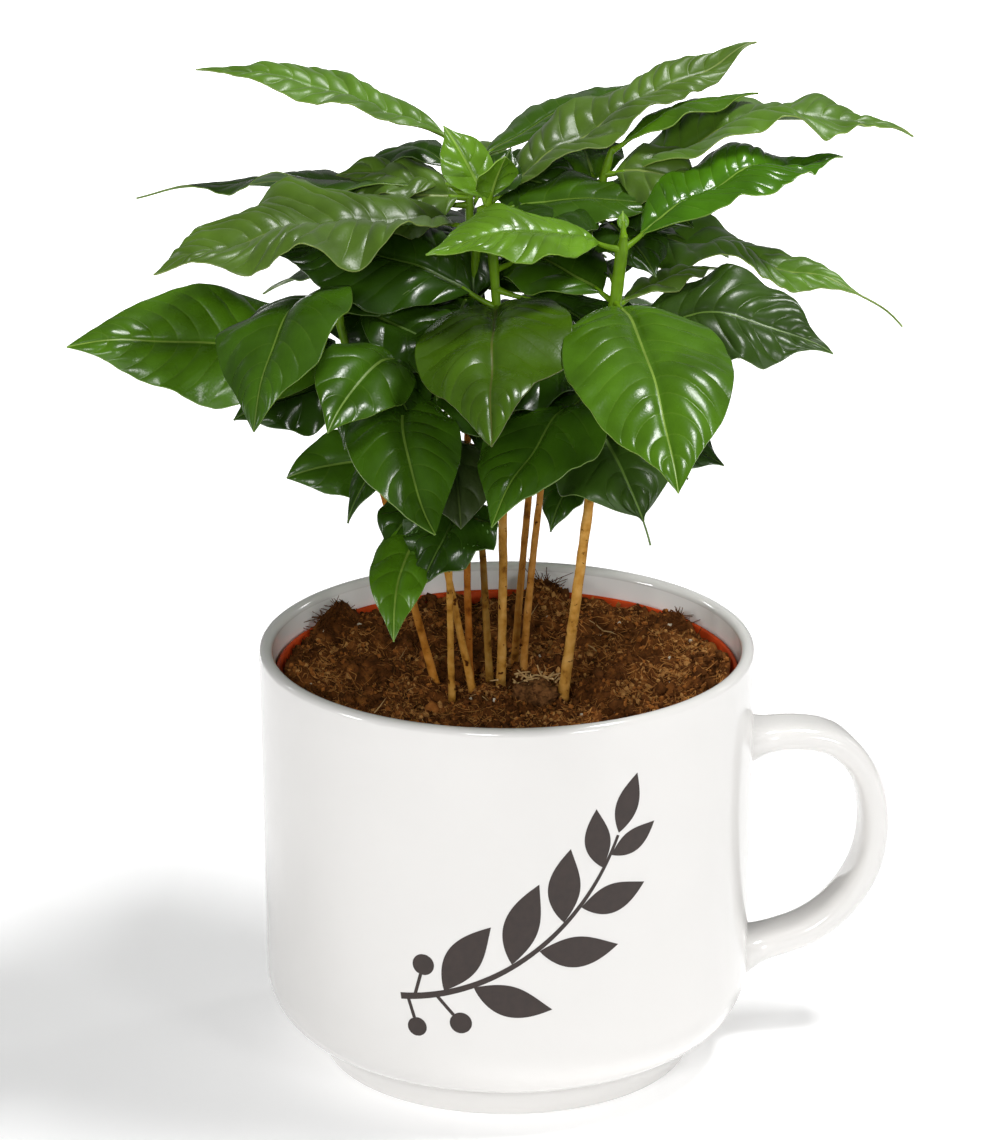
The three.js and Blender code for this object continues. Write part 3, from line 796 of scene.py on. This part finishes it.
# Soil
def soil_height(x, y):
    """The soil's surface: level round the stems, higher at the wall, with heaps and clods."""
    radius = np.hypot(x, y)
    edge = np.clip((radius - SOIL_LEVEL_RADIUS) / (SOIL_TOP_RADIUS - SOIL_LEVEL_RADIUS), 0, 1)
    height = SOIL_LEVEL + (SOIL_EDGE - SOIL_LEVEL) * edge
    for heap_x, heap_y, size, rise in SOIL_HEAPS:
        height = height + rise * np.exp(-((x - heap_x) ** 2 + (y - heap_y) ** 2) / size**2)
    flat = np.stack([x, y], -1)
    broad, middling, clods, grain = (
        rise * ripple(flat, size, seed) for seed, (size, rise) in enumerate(SOIL_SWELLS, 1)
    )
    return height + broad + middling + np.abs(clods) + grain - SOIL_SINKING


def soil_bed():
    heap = Heap()
    radius = SOIL_TOP_RADIUS * np.linspace(0, 1, SOIL_RINGS + 1)[1:, None]
    angle = full_turn(SOIL_SPOKES)
    top = polar(radius, angle, 0.0)
    top[..., 2] = soil_height(top[..., 0], top[..., 1])
    shoulder = polar(SOIL_RADIUS, angle, POT_COLLAR_BOTTOM)
    foot = polar(POT_BOTTOM_RADIUS - POT_WALL - 2 * GAP, angle, SOIL_FLOOR)
    rings = np.concatenate([top, shoulder[None], foot[None]])
    rows = len(rings)
    faces = grid_faces(rows, SOIL_SPOKES, closed=True)
    last = (rows - 1) * SOIL_SPOKES
    middle = rows * SOIL_SPOKES
    faces += [[middle, side, (side + 1) % SOIL_SPOKES] for side in range(SOIL_SPOKES)]
    faces.append([last + side for side in range(SOIL_SPOKES)][::-1])
    centre = [[0, 0, float(soil_height(np.zeros(1), np.zeros(1))[0])]]
    heap.add(np.concatenate([rings.reshape(-1, 3), centre]), faces, "peat")
    heap.build("soil_bed", ["soil"], "soil")


def ball(level):
    """An icosahedron whose faces are split a number of times."""
    golden = (1 + math.sqrt(5)) / 2
    corners = [(a, b * golden, 0) for a in (-1, 1) for b in (-1, 1)]
    corners = unit(np.array(corners + [p[1:] + p[:1] for p in corners] + [p[2:] + p[:2] for p in corners]))
    side = np.min(np.linalg.norm(corners[1:] - corners[0], axis=1)) * 1.01
    near = np.linalg.norm(corners[:, None] - corners[None], axis=-1) < side
    faces = [
        (a, b, c) for a in range(len(corners)) for b in range(a) for c in range(b)
        if near[a, b] and near[b, c] and near[a, c]
    ]
    faces = [f if np.linalg.det(corners[list(f)]) > 0 else f[::-1] for f in faces]
    for _ in range(level):
        corners, faces = split_faces(corners, faces)
    return corners, np.array(faces)


def split_faces(corners, faces):
    points = [tuple(corner) for corner in corners]
    middles = {}

    def middle(a, b):
        key = (min(a, b), max(a, b))
        if key not in middles:
            middles[key] = len(points)
            points.append(tuple(unit(np.array(points[a]) + np.array(points[b]))))
        return middles[key]

    split = []
    for a, b, c in faces:
        ab, bc, ca = middle(a, b), middle(b, c), middle(c, a)
        split += [(a, ab, ca), (b, bc, ab), (c, ca, bc), (ab, bc, ca)]
    return np.array(points), split


def on_disc(rng, count, radius):
    """Even random places on a disc."""
    distance = radius * np.sqrt(rng.uniform(0, 1, count))
    angle = rng.uniform(0, 2 * np.pi, count)
    return distance * np.cos(angle), distance * np.sin(angle)


def soil_patches(x, y):
    """How pale the soil is at a place, about -1 to 1."""
    return ripple(np.stack([x, y], -1), SOIL_PATCH_SIZE, 31)


def crumbs(name, count, sizes, level, paints, seed, roughness=0.28, sunk=0.35):
    """Dented and stretched balls strewn over the soil and sunk in it; the paints go from dark to pale."""
    rng = chance(seed)
    corners, faces = ball(level)
    x, y = on_disc(rng, count, SOIL_TOP_RADIUS - CRUMB_MARGIN)
    size = np.exp(rng.uniform(math.log(sizes[0]), math.log(sizes[1]), count))
    z = soil_height(x, y) + size * (0.5 - sunk)
    stretch = rng.uniform(*CRUMB_STRETCH, (count, 1, 3))
    dents = 1 + roughness * rng.normal(size=(count, len(corners), 1))
    points = corners * stretch * dents * size[:, None, None] / 2
    spin = np.linalg.qr(rng.normal(size=(count, 3, 3)))[0]
    spin *= np.sign(np.linalg.det(spin))[:, None, None]
    points = np.einsum("nij,npj->npi", spin, points) + np.stack([x, y, z], -1)[:, None]
    starts = np.arange(count)[:, None, None] * len(corners)
    heap = Heap()
    shade = np.clip(rng.uniform(0, 1, count) + PATCH_CONTRAST * soil_patches(x, y), 0, 0.999)
    dealt = np.repeat(np.array(paints)[(shade * len(paints)).astype(int)], len(faces)).tolist()
    heap.add(points, (faces + starts).reshape(-1, 3).tolist(), dealt)
    heap.build(name, slot="soil", smooth=level > 0)


def fibres(name, count, lengths, radius, paint, seed, lift, bow):
    """Thin bowed threads lying on the soil, fewer where it is dark."""
    rng = chance(seed)
    heap = Heap()
    share = np.linspace(-0.5, 0.5, FIBRE_STEPS)
    x, y = on_disc(rng, count, SOIL_TOP_RADIUS - FIBRE_MARGIN)
    pale = soil_patches(x, y)
    for index in range(count):
        length = rng.uniform(*lengths)
        turn = rng.uniform(0, 2 * np.pi)
        turns = turn + rng.normal() * bow * share
        tilt = rng.normal() * lift
        line_x = x[index] + np.cos(turns) * share * length
        line_y = y[index] + np.sin(turns) * share * length
        reach = np.hypot(line_x, line_y).max()
        if reach > SOIL_TOP_RADIUS or pale[index] < rng.uniform(*BARE_PATCHES):
            continue
        ground = soil_height(line_x, line_y)
        height = (ground + ground.mean()) / 2 + FIBRE_RISE + FIBRE_TILT * tilt * share * length
        line = np.stack([line_x, line_y, np.maximum(height, ground - FIBRE_SINKING)], -1)
        thick = radius * rng.uniform(*FIBRE_CHANCE) * (1 - FIBRE_TAPER * np.abs(2 * share) ** 3)
        tube(heap, rings_along(line, thick, FIBRE_SIDES), paint)
    heap.build(name, slot="soil")


def bristle_line(rng, start, kind, size=1):
    """The middle line of a bowed bristle that leans by chance."""
    share = np.linspace(0, 1, kind.steps)[:, None]
    lean = rng.normal(size=3) * kind.spread + (0, 0, kind.upright)
    curve = rng.normal(size=3) * kind.bow
    length = rng.uniform(*np.multiply(kind.lengths, size))
    return start + (lean * share + curve * share**2) * length


def bristle_rings(line, kind):
    return rings_along(line, kind.radius - kind.taper * np.linspace(0, 1, kind.steps), kind.sides)


def tufts():
    """Dark feathery clumps of coir on the soil's back edge."""
    rng = chance(25)
    heap = Heap()
    for x, y, size, count in SOIL_TUFTS:
        for _ in range(count):
            foot = np.array([x, y]) + rng.normal(size=2) * size * TUFT_SPREAD
            foot *= min(1, (SOIL_TOP_RADIUS - TUFT_MARGIN) / np.hypot(*foot))
            start = np.array([*foot, float(soil_height(*foot[:, None])[0])])
            line = bristle_line(rng, start, COIR, size)
            tube(heap, bristle_rings(line, COIR), "dark_crumb")
    heap.build("coir_tufts", slot="soil")


def husk_lump():
    """A brown lump of husk that lies between the stems."""
    corners, faces = ball(3)
    uneven = 1 + sum(rise * ripple(corners, size, seed) for seed, (size, rise) in enumerate(HUSK_DENTS, 27))
    heap = Heap()
    heap.add(corners * uneven[:, None] * HUSK_HALF_SIZE + HUSK_PLACE, faces.tolist(), "husk")
    heap.build("husk_lump", slot="soil")


def husk_straws():
    """Pale straws that stick out behind the husk lump."""
    rng = chance(30)
    heap = Heap()
    for _ in range(HUSK_STRAWS):
        foot = np.array(HUSK_PLACE) + rng.normal(size=3) * STRAWS_SPREAD + STRAWS_FROM_HUSK
        line = bristle_line(rng, foot, STRAW)
        line[:, 2] = np.maximum(line[:, 2], soil_height(line[:, 0], line[:, 1]) + STRAWS_ABOVE_SOIL)
        tube(heap, bristle_rings(line, STRAW), "straw")
    heap.build("husk_straws", slot="soil")


def soil():
    soil_bed()
    paints = ["dark_crumb"] * 3 + ["red_crumb"] * 2 + ["pale_crumb"]
    crumbs("soil_crumbs", 7500, (0.4, 1.5), 0, paints, 20)
    crumbs("soil_clods", 90, (1.6, 3), 1, ["dark_crumb", "dark_crumb", "red_crumb"], 21, 0.3)
    crumbs("perlite_grains", 26, (0.5, 1.2), 1, ["perlite"], 22, 0.3, 0.2)
    fibres("coir_fibres", 5200, (2, 8), 0.12, "fibre", 23, 0.9, 1.2)
    fibres("dark_fibres", 1500, (2, 7), 0.13, "dark_crumb", 26, 0.9, 1.2)
    fibres("straw_bits", 20, (5, 12), 0.2, "straw", 24, 1.2, 0.3)
    tufts()
    husk_lump()
    husk_straws()


# Stems and shoots
def stem_points(plant, share):
    """Points on a seedling's middle line, from the soil to its growing tip."""
    foot = np.array([*plant.foot, SOIL_LEVEL + GAP])
    bend, top = np.array(plant.bend), np.array(plant.top)
    share = np.asarray(share, float)[..., None]
    return foot * (1 - share) ** 2 + bend * 2 * share * (1 - share) + top * share**2


def share_at_height(plant, height):
    """How far along its middle line a stem reaches a height."""
    marks = np.linspace(0, 1, STEM_MARKS)
    return np.interp(height, stem_points(plant, marks)[:, 2], marks)


def stem_radius(plant, height):
    above = height - SOIL_LEVEL
    flare = FLARE * np.exp(-above / FLARE_HEIGHT)
    return plant.radius * (1 + flare - STEM_TAPER * above / (plant.top[2] - SOIL_LEVEL))


def lowest_leaf(plant):
    return min(leaf[0] for leaf in plant.leaves)


def limb_rings(plant, start, stop, radius, sides, relief, knots, seed):
    """Level rings along part of a stem, with lengthwise relief and a swelling at each knot."""
    steps = max(6, int((stop - start) * (plant.top[2] - SOIL_LEVEL)))
    line = stem_points(plant, np.linspace(start, stop, steps))
    around = polar(1, full_turn(sides), 0)[:, :2]
    height = line[:, 2]
    reach = radius(height)
    swell = sum(KNOT_RISE * np.exp(-(((height - knot) / KNOT_SIZE) ** 2)) for knot in knots) + 0 * reach
    grain = np.broadcast_arrays(around[None] * GRAIN_ROUND, height[:, None, None] * GRAIN_ALONG)
    rough = 1 + relief * ripple(np.concatenate(grain, -1), GRAIN_SIZE, seed) + swell[:, None]
    spokes = around[None] * (reach[:, None] * rough)[..., None]
    rings = np.repeat(line[:, None], sides, axis=1)
    rings[..., :2] += spokes
    return rings


def stems():
    """The bare brown lower part of each seedling."""
    for index, (name, plant) in enumerate(SEEDLINGS.items()):
        stop = share_at_height(plant, lowest_leaf(plant) - BARE_BELOW_LEAVES)
        rng = chance(40 + index)
        first, last = SOIL_LEVEL + FIRST_KNOT_ABOVE_SOIL, lowest_leaf(plant) - LAST_KNOT_BELOW_LEAVES
        knots = np.arange(first, last, KNOT_SPACING) + rng.uniform(-KNOT_JITTER, KNOT_JITTER)
        radius = partial(stem_radius, plant)
        heap = Heap()
        rings = limb_rings(plant, 0, stop, radius, STEM_SIDES, BARK_RELIEF, knots, 50 + index)
        tube(heap, rings, f"young_bark_{name}")
        heap.build(f"bark_{name}", [f"stem_{name}"], "bark")


def shoot(heap, name, plant, seed):
    """The green upper part of a seedling, up to its growing tip."""
    low = lowest_leaf(plant)
    start = share_at_height(plant, low - BARE_BELOW_LEAVES + GAP)

    def radius(height):
        top = plant.top[2]
        share = np.clip((height - low) / (top - low), 0, 1)
        bud = 1 - BUD_TAPER * smoothstep(height, top - BUD_LENGTH, top)
        return stem_radius(plant, height) * (1 - (1 - SHOOT_TIP_SHARE) * share) * bud

    knots = sorted({leaf[0] for leaf in plant.leaves})
    rings = limb_rings(plant, start, 1, radius, SHOOT_SIDES, SHOOT_RELIEF, knots, seed)
    woody = rings[:-1, 0, 2] < min(low + WOODY_ABOVE_LEAVES, WOODY_TOP)
    tube(heap, rings, np.where(woody, f"young_bark_{name}", "green_shoot"))


# Leaves
def heading(turn, slope):
    level = np.cos(slope)
    return np.stack([level * np.cos(turn), level * np.sin(turn), np.sin(slope)], -1)


def half_width(share, leaf):
    """Half the blade's width, with a drawn-out tip that may end in a thread."""
    share = np.clip(share / (1 - leaf.thread), 0, 1)
    body = np.sin(np.pi * share**OUTLINE_SKEW) ** OUTLINE_FULLNESS
    tip = 1 - TIP_NARROWING * (1 - leaf.blunt) * smoothstep(share, TIP_START, TIP_END)
    least = np.where(share < 0.5, BASE_HALF_WIDTH, TIP_HALF_WIDTH)
    return np.maximum(least, body * tip * leaf.width / 2)


def vein_rows(leaf, rng):
    """Where the blade's rows start, how far each lies between two veins, and the spacing of the veins."""
    pairs = max(FEWEST_VEINS, round(leaf.length / TONES[leaf.tone].spacing))
    veins = np.linspace(FIRST_VEIN, LAST_VEIN, pairs)
    veins += rng.uniform(-VEIN_JITTER, VEIN_JITTER, pairs) * (veins[1] - veins[0])
    veins = np.concatenate([[0], veins, [1]])
    between = np.tile(ROWS_BETWEEN_VEINS, pairs + 1)
    starts = np.repeat(veins[:-1], len(ROWS_BETWEEN_VEINS))
    spans = np.repeat(np.diff(veins), len(ROWS_BETWEEN_VEINS))
    rows = np.append(starts + between * spans, 1)
    return rows, np.append(between, 0), np.append(spans, 0) * leaf.length


def midrib_heading(leaf, share):
    return heading(np.radians(leaf.turn + leaf.curl * share), np.radians(leaf.rise - leaf.droop * share))


def blade_frame(leaf, share):
    """The midrib's line and the blade's own directions at each share of its length."""
    marks = np.linspace(0, 1, MIDRIB_STEPS + 1)
    steps = midrib_heading(leaf, (marks[1:] + marks[:-1]) / 2) * leaf.length / MIDRIB_STEPS
    points = np.vstack([np.zeros(3), np.cumsum(steps, axis=0)])
    line = np.stack([np.interp(share, marks, points[:, axis]) for axis in range(3)], -1)
    along = midrib_heading(leaf, share)
    turn = np.radians(leaf.turn + leaf.curl * share)
    roll = np.radians(leaf.roll + leaf.twist * share)[..., None]
    level = np.stack([-np.sin(turn), np.cos(turn), 0 * turn], -1)
    side = level * np.cos(roll) + np.cross(along, level) * np.sin(roll)
    return line, side, np.cross(along, side)


def blade_form(leaf, rng):
    """A blade's grid: at each point the share of its length, the distance from the midrib and the height."""
    rows, between, spacing = vein_rows(leaf, rng)
    half_steps = np.array(ACROSS_HALF_BLADE)
    across = np.concatenate([half_steps[::-1], [0], half_steps])
    middle = len(half_steps)
    halves = np.where(np.arange(len(across)) < middle, -1, 1)
    sweep = VEIN_SWEEP * leaf.width / leaf.length * np.sin(np.pi * rows)
    share = rows[:, None] + sweep[:, None] * across**VEIN_BEND
    half = half_width(share, leaf)
    rib = np.minimum(RIB_HALF_WIDTH * (1 - RIB_NARROWING * share), RIB_LARGEST_SHARE * half)
    offset = halves * (rib + (half - rib) * across)
    offset[:, middle] = 0

    quilting = TONES[leaf.tone].quilting
    pillow = (4 * between * (1 - between)) ** QUILT_ROUNDNESS * spacing * QUILT * quilting
    cell = np.cumsum(between == 0)
    puff = rng.uniform(*QUILT_CHANCE, (cell[-1] + 1, 2))[cell][:, (halves > 0).astype(int)]
    swell = across**QUILT_START * (1 - QUILT_EDGE[0] * across ** QUILT_EDGE[1])
    flat = np.stack([share * leaf.length, offset], -1)
    ease = smoothstep(share, *RELIEF_START)
    sway = SWAY * leaf.length * ripple(flat, SWAY_SIZE, int(rng.integers(1000))) * ease
    pucker = PUCKER * math.sqrt(quilting) * ripple(flat, PUCKER_SIZE, int(rng.integers(1000))) * ease
    arch = ARCH * half * np.sin(np.pi * across**ARCH_SKEW) - EDGE_DROP * half * across**2
    cycles = leaf.waves * rng.uniform(*WAVES_CHANCE)
    crests = rng.uniform(0, 1, 2) if leaf.crest is None else (leaf.crest, leaf.crest - CREST_SHIFT / cycles)
    crest = np.where(halves * np.cos(np.radians(leaf.turn)) < 0, *crests)
    wave = leaf.wave * WAVE * half * across**2 * np.cos(2 * np.pi * cycles * (share - crest)) * ease
    cup = leaf.cup * (1 - smoothstep(share, 0, CUP_LENGTH))
    gutter = (leaf.fold + cup + TIP_GUTTER * smoothstep(share, GUTTER_START, 1)) * np.abs(offset)
    narrow = np.minimum(1, half / FULL_RELIEF_HALF_WIDTH)
    relief = (pillow[:, None] * puff * swell + pucker * np.sqrt(across)) * narrow
    height = relief + arch + wave + gutter + sway
    height[:, middle] += RIB_RISE * (1 - RIB_RISE_LOSS * rows)
    return share, offset, height, across, middle


def blade(heap, leaf, start, rng):
    """One leaf blade: quilted between its veins, arched on each side of the midrib, with a wavy margin."""
    share, offset, height, across, middle = blade_form(leaf, rng)
    line, side, normal = blade_frame(leaf, share)
    surface = start + line + side * offset[..., None]
    top = surface + normal * (height + BLADE_THICKNESS / 2)[..., None]
    drop = height - BLADE_THICKNESS / 2
    drop[:, middle] -= RIB_DEPTH * (1 - RIB_DEPTH_LOSS * share[:, middle])
    bottom = surface + normal * drop[..., None]

    count, columns = share.shape
    row_in_span = np.arange(count - 1) % len(ROWS_BETWEEN_VEINS)
    is_vein = np.isin(row_in_span, (0, len(ROWS_BETWEEN_VEINS) - 1))
    paints = np.full((count - 1, columns - 1), f"leaf_{leaf.tone}", dtype=object)
    inner = np.maximum(across[:-1], across[1:]) < VEIN_REACH
    paints[np.ix_(is_vein, inner)] = f"vein_{leaf.tone}"
    paints[:, middle - 1:middle + 1] = f"rib_{leaf.tone}"
    under = np.full_like(paints, "leaf_young" if leaf.tone == "young" else "underside")
    under[:, middle - 1:middle + 1] = "rib_fresh"
    plate(heap, top, bottom, (paints.ravel(), under.ravel(), f"rib_{leaf.tone}"))


def stalk(heap, leaf, base):
    """A leaf's stalk, thicker at the stem, that runs on into the blade."""
    direction = heading(*np.radians([leaf.turn, leaf.rise]))
    length = leaf.stalk + STALK_IN_BLADE
    share = np.linspace(0, 1, STALK_STEPS)
    line = base + direction * (share * length)[:, None]
    line[:, 2] -= STALK_SAG * np.sin(np.pi * share)
    flare = STALK_FLARE * np.exp(-share * length / STALK_FLARE_LENGTH)
    radii = STALK_RADIUS * (STALK_FOOT - STALK_TAPER * share + flare)
    tube(heap, rings_along(line, radii, STALK_SIDES), "green_shoot")
    return base + direction * leaf.stalk


def foliage():
    """Each seedling's green shoot with its leaf stalks, and its leaf blades."""
    for index, (name, plant) in enumerate(SEEDLINGS.items()):
        rng = chance(80 + index)
        twigs, blades = Heap(), Heap()
        shoot(twigs, name, plant, 60 + index)
        for row in plant.leaves + plant.inner:
            leaf = Leaf(*row)
            base = stem_points(plant, share_at_height(plant, leaf.height))
            blade(blades, leaf, stalk(twigs, leaf, base), rng)
        twigs.build(f"shoot_{name}", [f"leaves_{name}"], "leaf")
        blades.build(f"foliage_{name}", [f"leaves_{name}"], "leaf")


# Stage
def camera():
    data = bpy.data.cameras.new("camera")
    data.sensor_width = SENSOR
    data.lens = FOCAL_PIXELS * SENSOR / max(PHOTO_SIZE)
    data.shift_x = (PHOTO_SIZE[0] / 2 - CENTRE_PIXEL_X) / max(PHOTO_SIZE)
    view = add_object("camera", data)
    elevation = math.radians(CAMERA_ELEVATION)
    away = Vector((0, -math.cos(elevation), math.sin(elevation))) * CAMERA_DISTANCE
    view.location = (Vector((0, 0, CAMERA_TARGET_HEIGHT)) + away) * MM
    view.rotation_euler = (math.radians(90) - elevation, 0, 0)
    bpy.context.scene.camera = view


def softbox(name, place, size, power, target=LIT_PLACE, spread=180):
    data = bpy.data.lights.new(name, "AREA")
    data.shape = "RECTANGLE"
    data.size, data.size_y = size
    data.energy = power
    data.spread = math.radians(spread)
    lamp = add_object(name, data)
    lamp.location = place
    lamp.rotation_euler = (Vector(target) - Vector(place)).to_track_quat("-Z", "Y").to_euler()


def lights():
    softbox("overhead", (0.5, -0.05, 1.35), (0.32, 0.26), 13)
    softbox("key", (0.9, -1.3, 0.5), (0.3, 0.22), 5)
    softbox("front", (-0.3, -1.45, 0.8), (0.36, 0.26), 8.5)
    softbox("left_fill", (-1.6, -0.5, 0.4), (0.3, 0.25), 5)
    softbox("backdrop", (0, 2.2, 0.9), (2.5, 1.0), 1.4)
    for side in (-1, 1):
        softbox("floor_wash", (1.5 * side, 1.4, 0.9), (0.9, 0.5), 10, (0, 1.3, 0), 60)
    world = bpy.data.worlds.new("studio")
    world.use_nodes = True
    fill(world.node_tree.nodes["Background"], {"Color": (1, 1, 1, 1), "Strength": SKY_LIGHT})
    bpy.context.scene.world = world
    bpy.context.scene.view_settings.view_transform = "Standard"


def floor():
    half = FLOOR_HALF_SIZE
    mesh = bpy.data.meshes.new("floor")
    corners = [(-half, -half, 0), (half, -half, 0), (half, half, 0), (-half, half, 0)]
    mesh.from_pydata(corners, [], [(0, 1, 2, 3)])
    mesh.materials.append(bpy.data.materials["pale_floor"])
    ground = add_object("floor", mesh)


leaf_materials()
bark_materials()
soil_materials()
pot_materials()
floor_material()
mug()
mug_print()
nursery_pot()
soil()
stems()
foliage()
floor()
camera()
lights()
